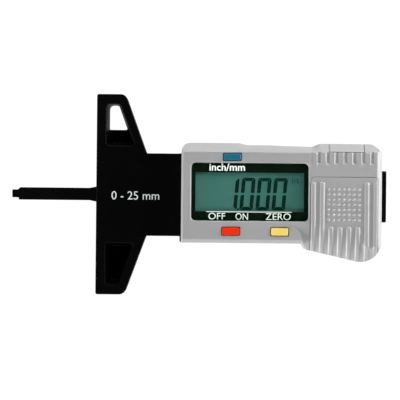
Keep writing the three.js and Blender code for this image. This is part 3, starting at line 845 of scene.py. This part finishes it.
def make_range_mark():
    mark = lettering("0 - 25 mm", 4.6, 18.9, -1.55, 0.95, BASE_TOP, 0.02)
    piece("range_mark", mark, "gauge_body", WHITE_INK)


# ------------------------------------------------------------------ lettering


def lettering(words, x0, x1, y0, y1, z, thick=0.015, shear=0.0, weight=0.0):
    """Words as a thin solid that fills x0 to x1 and y0 to y1, standing on z."""
    curve = bpy.data.curves.new("words", "FONT")
    curve.body = words
    curve.extrude = 0.5
    curve.offset = weight
    curve.shear = shear
    curve.resolution_u = 4
    text = linked("words", curve)
    graph = bpy.context.evaluated_depsgraph_get()
    mesh = bpy.data.meshes.new_from_object(text.evaluated_get(graph))
    bpy.data.objects.remove(text)
    co = np.array([v.co for v in mesh.vertices])
    low, high = co.min(0), co.max(0)
    target_low = np.array((x0, y0, z))
    target_high = np.array((x1, y1, z + thick))
    co = target_low + (co - low) / (high - low) * (target_high - target_low)
    mesh.vertices.foreach_set("co", co.ravel())
    return linked("words", mesh)


# ------------------------------------------------------------------ slide and thumb plate


def make_slide():
    """The slide, whose narrow front is the probe and ends in a still narrower tip."""
    tip, front, half = -TRAVEL, SLIDE_FRONT, SLIDE_HALF
    z0, z1 = SLIDE_Z
    loop = rounded(
        [
            (tip, -1.2, 0.25), (tip + 1.95, -1.2, 0.15), (tip + 1.95, -1.87, 0.25), (-2.1, -1.87, 0.6),
            (0.0, -2.3, 0.6), (front, -2.3, 0.3), (front, -half, 0.8), (SLIDE_BACK, -half, 0),
            (SLIDE_BACK, half, 0), (front, half, 0.8), (front, 2.3, 0.3), (0.0, 2.3, 0.6), (-2.1, 1.87, 0.6),
            (tip + 2.4, 1.87, 0.25), (tip + 1.73, 1.2, 0.25), (tip, 1.2, 0.25),
        ]
    )
    body = prism(loop, z0, z1, 0.22, 0.22)
    cut(
        body,
        box(7.9, 84.1, -6.1, 6.1, 5.6, 7),
        prism(rectangle(STOP_X - TRAVEL - 1.1, STOP_X + 1.1, -1.15, 1.15, 1.1), 2, 4.4),
        *[moved(disc(0, 0, 0.72, 79.7, BEHIND), 0, y, PLATE_SCREW_Z, ALONG_X) for y in PLATE_SCREW_Y],
    )
    replace("probe_slide", body, "slide", BLACK_SLIDE)


def make_thumb_plate():
    """The plate is drawn flat, with its x up and its z towards the back, and then stood up."""
    (front, y0, z0), (back, y1, z1) = gauge_box("thumb_plate")
    r = 0.9
    outline = rounded([(-z1, y0, r), (-z0, y0, r), (-z0, y1, r), (-z1, y1, r)], step=12)
    body = moved(prism(outline, front, back, 0.15, 0.2), turn=ALONG_X)
    for y in PLATE_SCREW_Y:
        hole = turned([(0.72, 84), (0.72, back - 0.74), (1.72, back + 0.26), (1.72, back + 0.9)])
        cut(body, moved(hole, 0, y, PLATE_SCREW_Z, ALONG_X))
    replace("thumb_plate", body, "slide", BLACK)


def cross_recess(arm, width, z0, z1):
    """A cutter for a screw's cross, with arms of the given reach and half width."""
    return fuse(box(-arm, arm, -width, width, z0, z1), box(-width, width, -arm, arm, z0, z1))


def make_screws():
    for i, y in enumerate(PLATE_SCREW_Y):
        name = f"thumb_plate_screw_{i + 1}"
        low, high = gauge_box(name)
        tip, back = low[0], high[0]
        body = turned([(0.3, tip), (0.65, tip + 0.6), (0.65, back - 0.55), (1.15, back - 0.08), (1.1, back)])
        cut(body, cross_recess(0.75, 0.16, back - 0.3, back + 0.5))
        replace(name, moved(body, 0, y, PLATE_SCREW_Z, ALONG_X), "slide", STEEL)
    for i, (x, y) in enumerate(HEAD_SCREWS):
        make_pan_screw(f"housing_screw_{i + 1}", x, y, 0.15, 1.9, 0.8, 0.85, 8.4)
    for i, (x, y) in enumerate(BOARD_SCREWS):
        make_pan_screw(f"board_screw_{i + 1}", x, y, 5.8, 1.2, 0.75, 0.62, 10.5)


def make_pan_screw(name, x, y, z0, head_r, head_h, shank_r, tip):
    turns = np.linspace(0.15, 1.57, 7)
    dome = [(head_r * math.sin(t), z0 + head_h * 0.55 * (1 - math.cos(t))) for t in turns]
    neck = z0 + head_h
    body = turned([(0, z0), *dome, (head_r, neck), (shank_r, neck), (shank_r, tip - 0.9), (0.1, tip)])
    cut(body, cross_recess(head_r * 0.55, head_r * 0.14, z0 - 1, z0 + head_h * 0.7))
    replace(name, moved(body, x, y), "gauge_body", STEEL)


# ------------------------------------------------------------------ head


def make_housing():
    body = field_block(head_columns(), head_rows, SEAM_Z, head_height)
    fuse(body, face_corner())
    x0, x1 = HEAD_X
    cut(
        body,
        prism(rectangle(x0 + 1.5, 62.8, -12.7, 13.4, 1.0), 0, PLATE_Z, 0, 0.3),
        box(62.7, 83.8, 7.2, 13.4, 0, PLATE_Z),
        box(62.7, 84.1, -13.0, 7.3, 0, BAY_FLOOR[0]),
        prism(rectangle(*BAY, 1.0), 0, 20),
    )
    ring = cut(
        disc(CELL["x"], CELL["y"], 6.8, BAY_FLOOR[0], 11.4, 0, 0.2, 64),
        disc(CELL["x"], CELL["y"], 6.0, BAY_FLOOR[1], 12, 0, 0, 64),
        box(66, 69.5, -9.0, -2.2, BAY_FLOOR[1], 12),
    )
    fuse(
        body,
        box(62.8, 84.4, -13.0, 7.2, *BAY_FLOOR),
        box(62.75, BAY[0], -13.0, 7.2, BAY_FLOOR[0], INNER_TOP),
        box(62.8, 84.1, 6.0, 7.2, BAY_FLOOR[0], INNER_TOP),
        box(68.4, 81.1, 11.9, PORT[2] + 0.4, BAY_FLOOR[1], INNER_TOP),
        ring,
        *[disc(x, y, 2.1, SEAM_Z + 0.05, INNER_TOP) for x, y in HEAD_SCREWS[:3]],
        disc(*HEAD_SCREWS[3], 2.0, SEAM_Z + 0.05, 9.8),
        box(83.5, 84.4, -13.6, -11.6, SEAM_Z + 0.05, 9.8),
        *[disc(x, y, 1.6, ON_BOARD, INNER_TOP) for x, y in BOARD_SCREWS],
    )
    cut(
        body,
        box(x0 - 1, 27.6, -NECK_HALF - 0.12, NECK_HALF + 0.12, 0, BASE_TOP + 0.12),
        box(83, BEHIND, -SLIDE_HALF - 0.25, SLIDE_HALF + 0.25, 0, CHANNEL_Z[1]),
        prism(rectangle(*WINDOW, WINDOW_R), WINDOW_LEDGE, FACE_Z, 0, -0.28),
        box(VIEW[0] - 0.3, VIEW[1] + 0.4, VIEW[2] - 1.7, VIEW[3] + 1.4, 11, 20),
        *[button_hole(*b) for b in BUTTONS.values()],
        box(PORT[0], PORT[1], PORT[2], 20, PORT_Z, 20),
        box(71.0, 78.5, 11, 14, 8.7, 11.5),
        box(BAY[0] - 0.8, BAY[1] + 0.6, -30, 5.0, 10.5, 11.5),
        *[disc(x, y, 0.95, 0, 8.6) for x, y in HEAD_SCREWS],
        *[disc(x, y, 0.72, 5, 10.8) for x, y in BOARD_SCREWS],
    )
    replace("front_housing", body, "gauge_body", SILVER)


def face_corner():
    """The round corner of the flat face, which stands a little above the start of the thumb rest."""

    def rows(x):
        low = float(lower_edge(x))
        return np.concatenate([low + EDGE_R * ARC, np.linspace(low + EDGE_R, -8, 33)[1:]])

    block = field_block(np.linspace(57, 61.9, 25), rows, 8, lambda x, y: head_height(x, y, False) + 0.004)
    return keep(block, disc(56, -14, 5.7, 0, 20, sides=96))


def button_hole(x, y, w, h):
    w, h = w / 2 + 0.25, h / 2 + 0.25
    return prism(rectangle(x - w, x + w, y - h, y + h, 0.35), 11, FACE_Z, 0, -0.06)


def cover_rows(x):
    low, high = float(lower_edge(x)), BAY[3] - FIT
    return np.concatenate(
        [
            low + EDGE_R * ARC,
            np.linspace(low + EDGE_R, -9.9, 25)[1:],
            spread((-9.9, -8.8, 14), (-8.8, 3.6, 8), (3.6, 4.5, 11), (4.5, high - LIP - 0.03, 3))[1:],
            (high - LIP * ARC)[::-1],
        ]
    )


def make_battery_cover():
    left, right = BAY[0] + FIT, BAY[1] - FIT
    edges = [RIB["first"] + i * RIB["pitch"] for i in range(RIB["count"])]
    middle = RIB["slope"] / 2
    inner = np.concatenate([near(e + middle, reach=middle + 0.1, steps=5) for e in edges])
    outer = np.concatenate([near(e + RIB["width"] - middle, reach=middle + 0.1, steps=5) for e in edges])
    curve = spread((76, 83.8, 16))
    xs = np.concatenate([inner, outer, curve, left + LIP * ARC, right - LIP * ARC])
    xs = np.unique(np.round(xs[(xs > left) & (xs < right)], 3))
    xs = np.concatenate([[left], xs, [right]])
    body = field_block(xs, cover_rows, SEAM_Z + 0.1, lambda x, y: head_height(x, y) + thumb_ribs(x, y))
    keep(body, prism(rectangle(left, right, -40, BAY[3] - FIT, 1.0), 0, 20))
    fuse(body, *[dot(i, j) for i in range(DOT["count"]) for j in range(DOT["count"])])
    cut(body, box(60, BEHIND, -12, 10, 0, 12.6), prism(belly_hollow(), 0, 10.8))
    x0, x1 = BAY[0], BAY[1]
    fuse(
        body,
        box(x0 + 0.1, x0 + 1.1, -12.2, 4.6, 10.6, 12.8),
        box(x1 - 1.1, x1 - 0.1, -12.2, 4.6, 10.6, 12.8),
        box(x0 - 0.65, x0 + 0.6, -15.9, 4.6, 10.6, 11.35),
        box(x1 - 0.6, x1 + 0.45, -16.0, 4.6, 10.6, 11.35),
    )
    replace("battery_cover", body, "battery_cover", SILVER)


def dot(i, j):
    """One of the small raised dots on the thumb rest."""
    r, h = DOT["r"], DOT["height"]
    rings = [(r * 1.02, -0.3), (r, 0.0), (r * 0.6, h * 0.55), (r * 0.32, h * 0.88), (r * 0.1, h)]
    body = turned([(a, FACE_Z + b) for a, b in rings], 16)
    return moved(body, DOT["x"] + i * DOT["pitch"], DOT["y"] - j * DOT["pitch"])


def belly_hollow():
    """The inside of the belly, a wall's thickness in from its lower edge."""
    wall = 1.5
    xs = np.linspace(60, 84, 25)
    inner = BELLY["r"] - wall
    arc = BELLY["y"] - np.sqrt(np.maximum(0, inner**2 - np.maximum(0, xs - BELLY["x"]) ** 2))
    line = np.maximum(arc, belly_line(np.maximum(xs, BAY[0])) + wall)
    low = np.stack([xs, np.where(xs < BELLY["x"], line, arc)], 1)
    return anticlockwise(np.concatenate([low, [(BEHIND, BELLY["y"]), (BEHIND, -11.9), (60, -11.9)]]))


def make_port_cover():
    x0, x1, y0 = PORT[0] + FIT, PORT[1] - FIT, PORT[2] + FIT
    xs = np.union1d(np.linspace(x0, x1, 9), np.concatenate([x0 + LIP * ARC, x1 - LIP * ARC]))

    def rows(x):
        high = float(upper_edge(x))
        middle = np.linspace(y0 + LIP, high - EDGE_R, 9)[1:-1]
        return np.concatenate([y0 + LIP * ARC, middle, (high - EDGE_R * ARC)[::-1]])

    body = field_block(xs, rows, PORT_Z + FIT, head_height)
    fuse(body, box(71.2, 78.3, 11.2, 13.6, 8.9, 11.3))
    replace("data_port_cover", body, "data_port_cover", SILVER)


def make_rear_cover():
    body = field_block(rear_columns(), rear_rows, 0, rear_height, flip=REAR_TOP)
    edge_x = HEAD_X[0] - 0.5
    fuse(
        body,
        prism(rectangle(edge_x, 27.5, -NECK_HALF - 0.3, NECK_HALF + 0.3, 0.3), 0, REAR_FLOOR, 0.2, 0),
        prism(rectangle(edge_x, 27.5, LOWER_EDGE_Y, -12, 0.3), 0, REAR_TOP, 0.2, 0.12),
    )
    cut(
        body,
        box(24, 28, -NECK_HALF - 0.1, NECK_HALF + 0.1, REAR_FLOOR, 10),
        box(26.9, 62, -12.8, 13.6, REAR_FLOOR, 10),
        box(61.9, 83.8, -14.6, 13.6, REAR_FLOOR, 10),
        box(83, BEHIND, -SLIDE_HALF - 0.25, SLIDE_HALF + 0.25, REAR_FLOOR, 10),
    )
    for x, y in HEAD_SCREWS:
        cut(body, disc(x, y, 1.1, -1, 4), disc(x, y, 2.1, 0, 1.0, -0.2, 0))
    replace("rear_cover", body, "gauge_body", BLACK)


def make_button(name, material):
    x, y, w, h = BUTTONS[name]
    cap = rectangle(x - w / 2, x + w / 2, y - h / 2, y + h / 2, 0.3)
    body = prism(cap, 12, FACE_Z + 0.32, 0, 0.28)
    fuse(
        body,
        box(x - 3.1, x + 3.1, y - 1.4, y + 1.4, 11.3, PLATE_Z - 0.05),
        box(x - 1.4, x + 1.4, y - 0.8, y + 0.8, 8.6, 11.4),
    )
    replace(name, body, name, material)


# ------------------------------------------------------------------ display

DIGIT = {"w": 4.02, "h": 9.6, "side": 1.1, "bar": 0.98, "pitch": 4.78, "x": 38.0, "y": -4.35, "lean": 0.087}


def digit_segments(shown):
    """The polygons of one seven-segment digit, at its own lower left corner."""
    w, h, s, b = (DIGIT[k] for k in ("w", "h", "side", "bar"))
    middle = h / 2
    upright = [
        (0.0, middle + 0.42), (s / 2, middle + 0.26), (s, middle + 0.42),
        (s, h - b - 0.1), (0.28, h - 0.22), (0.0, h - 0.5),
    ]
    bar = [
        (0.42, h), (w - 0.42, h), (w - 0.3, h - 0.14),
        (w - s - 0.06, h - b), (s + 0.06, h - b), (0.3, h - 0.14),
    ]
    places = {
        "f": upright,
        "b": [(w - u, v) for u, v in upright],
        "e": [(u, h - v) for u, v in upright],
        "c": [(w - u, h - v) for u, v in upright],
        "a": bar,
        "d": [(u, h - v) for u, v in bar],
    }
    return [places[k] for k in shown]


def flat_pieces(polygons, z, thick):
    """Separate thin solids of the same height, in one mesh."""
    points, faces = [], []
    for polygon in polygons:
        loop = anticlockwise(np.array(polygon, float))
        n, first = len(loop), len(points)
        for level in (z, z + thick):
            points += [(x, y, level) for x, y in loop]
        faces += [[first + v for v in face] for face in ring_faces(2, n)]
    return solid(points, faces)


def make_display():
    glass_top = gauge_box("lcd_glass")[1][2]
    one, zero = "bc", "abcdef"
    polygons = []
    for place, shown in enumerate([one, zero, zero, zero]):
        for polygon in digit_segments(shown):
            left = DIGIT["x"] + place * DIGIT["pitch"]
            polygons.append([(left + u + DIGIT["lean"] * v, DIGIT["y"] + v) for u, v in polygon])
    point_x = DIGIT["x"] + DIGIT["pitch"] - 0.62
    point = [(0, 0), (0.5, 0), (0.55, 0.5), (0.05, 0.5)]
    polygons.append([(point_x + u, DIGIT["y"] + v) for u, v in point])
    segments = flat_pieces(polygons, glass_top + 0.005, 0.02)
    piece("lcd_segments", segments, "gauge_body", SEGMENT_INK)
    unit = lettering("in", 58.3, 60.3, 3.7, 5.5, glass_top + 0.005, 0.02, shear=0.15)
    piece("lcd_unit_sign", unit, "gauge_body", FAINT_INK)


def make_window():
    x0, x1, y0, y1 = WINDOW
    loop = rectangle(x0 + FIT, x1 - FIT, y0 + FIT, y1 - FIT, WINDOW_R - FIT)
    body = prism(loop, 12.95, 13.95, 0.05, 0.06)
    body.visible_shadow = False
    replace("display_window", body, "gauge_body", CLEAR)
    ink_z = gauge_box("window_mask")[1][2] + 0.005
    labels = {
        "unit_label": ("inch/mm", 33.8, 44.4, 7.25, 9.5, 0.02),
        "off_label": ("OFF", 33.65, 38.65, -7.22, -5.22, 0.0),
        "on_label": ("ON", 41.7, 45.4, -7.27, -5.27, 0.0),
        "zero_label": ("ZERO", 50.65, 58.1, -7.22, -5.22, 0.0),
    }
    for name, (words, lx0, lx1, ly0, ly1, weight) in labels.items():
        ink = lettering(words, lx0, lx1, ly0, ly1, ink_z, weight=weight)
        piece(name, ink, "gauge_body", WHITE_INK)
    line = box(33.0, 58.4, -5.0, -4.8, ink_z, ink_z + 0.015)
    piece("label_line", line, "gauge_body", WHITE_INK)


# ------------------------------------------------------------------ inside


def make_battery():
    low, high = gauge_box("battery")
    z0, z1 = low[2], high[2]
    r = CELL["r"]
    body = turned(
        [
            (0, z0), (4.6, z0), (4.85, z0 + 0.12), (5.0, z0 + 0.4), (5.15, z0 + 0.42), (5.2, z0 + 0.55),
            (5.55, z0 + 0.6), (r, z0 + 0.85), (r, z1 - 0.35), (5.7, z1 - 0.1), (5.45, z1), (4.3, z1),
            (4.15, z1 - 0.08), (0, z1 - 0.08),
        ],
        72,
    )
    cut(body, cross_recess(1.5, 0.22, z1 - 0.14, z1 + 1))
    replace("battery", moved(body, CELL["x"], CELL["y"]), "gauge_body", STEEL)


def dress_inner_nodes():
    """Materials, and edge widths in millimetres, for the CAD nodes that stay as they are."""
    finishes = {
        "scale_strip": (BOARD, 0.05),
        "travel_stop_pin": (STEEL, 0.15),
        "friction_spring": (BRONZE, 0.03),
        "window_mask": (MASK, 0.0),
        "lcd_glass": (CELL_FACE, 0.1),
        "lcd_holder": (WHITE, 0.15),
        "zebra_strip_upper": (CARBON, 0.1),
        "zebra_strip_lower": (CARBON, 0.1),
        "circuit_board": (BOARD, 0.05),
        "chip_encapsulant": (EPOXY, 0.0),
        "clock_crystal": (STEEL, 0.2),
        "supply_capacitor": (CERAMIC, 0.12),
        "data_port_connector": (BLACK, 0.12),
        "battery_contact_negative": (NICKEL, 0.04),
        "battery_contact_positive": (NICKEL, 0.04),
        "unit_dome": (SILICONE, 0.1),
        "power_dome": (SILICONE, 0.1),
        "zero_dome": (SILICONE, 0.1),
    }
    for node, (material, edge) in finishes.items():
        dress(node, material, edge)


# ------------------------------------------------------------------ camera, floor and light


def make_camera():
    """Straight above the gauge, with the slight turn that the gauge is shown at."""
    width_seen = 119.5 * MM
    distance = 0.6
    aim = Vector((FACE_X + 31.1 * MM, -1.48 * MM, 10 * MM))
    data = bpy.data.cameras.new("camera")
    data.sensor_width = 36
    data.lens = data.sensor_width * distance / width_seen
    camera = linked("camera", data)
    camera.location = aim + Vector((0, 0, distance))
    camera.rotation_euler = (0, 0, math.radians(0.55))
    bpy.context.scene.camera = camera


def make_floor():
    """A glowing white floor, in metres, that dims a little with distance and so runs into the world."""
    mesh = bpy.data.meshes.new("floor")
    size, z = 25.0, -0.05 * MM
    corners = [(-size, -size, z), (size, -size, z), (size, size, z), (-size, size, z)]
    mesh.from_pydata(corners, [], [(0, 1, 2, 3)])
    floor = linked("floor", mesh)
    material, tree, shader = node_material("floor")
    set_sockets(shader, Base_Color=(0.05, 0.05, 0.05, 1), Roughness=0.9, Specular_IOR_Level=0.0)
    set_sockets(shader, Emission_Color=(1, 1, 1, 1))
    place = add(tree, "ShaderNodeTexCoord").outputs["Object"]
    out = add(tree, "ShaderNodeVectorMath", {"Vector": place}, operation="LENGTH").outputs["Value"]
    glow = {"Value": out, "From Min": 0.1, "From Max": 3.0, "To Min": 1.02, "To Max": 0.9}
    tree.links.new(add(tree, "ShaderNodeMapRange", glow).outputs[0], shader.inputs["Emission Strength"])
    mesh.materials.append(material)


def soft_box(name, azimuth, elevation, power, size, distance=1.5):
    """A square light aimed at the gauge, with its azimuth in degrees from +X and its size in metres."""
    data = bpy.data.lights.new(name, "AREA")
    data.shape = "SQUARE"
    data.size = size
    data.energy = power
    light = linked(name, data)
    a, e = math.radians(azimuth), math.radians(elevation)
    light.location = Vector((math.cos(a) * math.cos(e), math.sin(a) * math.cos(e), math.sin(e))) * distance
    light.rotation_euler = light.location.to_track_quat("Z", "Y").to_euler()
    light.visible_camera = False


def make_world():
    """Bright all round and dim overhead, so that faces turned up stay calm and dark things stay black."""
    world = bpy.data.worlds.new("studio")
    world.use_nodes = True
    tree = world.node_tree
    background = tree.nodes["Background"]
    background.inputs["Color"].default_value = (1, 1, 1, 1)
    direction = add(tree, "ShaderNodeTexCoord").outputs["Generated"]
    height = add(tree, "ShaderNodeSeparateXYZ", {"Vector": direction}).outputs["Z"]
    shade = {"Value": height, "From Min": 0.08, "From Max": 0.55, "To Min": 0.91, "To Max": 0.015}
    level = add(tree, "ShaderNodeMapRange", shade, interpolation_type="SMOOTHSTEP").outputs[0]
    tree.links.new(level, background.inputs["Strength"])
    bpy.context.scene.world = world


def make_studio():
    make_floor()
    make_world()
    soft_box("right_box", 18, 16, 7.7, size=0.4, distance=0.8)
    soft_box("left_box", -151, 14, 20.5, size=0.7)
    soft_box("far_box", 90, 28, 9.0, size=0.7)
    soft_box("near_box", -90, 30, 6.8, size=0.8)
    bpy.context.scene.view_settings.view_transform = "Standard"


# ------------------------------------------------------------------ the whole gauge

make_camera()
make_base()
make_range_mark()
make_slide()
make_thumb_plate()
make_screws()
make_housing()
make_battery_cover()
make_port_cover()
make_rear_cover()
make_button("unit_button", BLUE)
make_button("power_button", RED)
make_button("zero_button", YELLOW)
make_display()
make_window()
make_battery()
dress_inner_nodes()
make_studio()
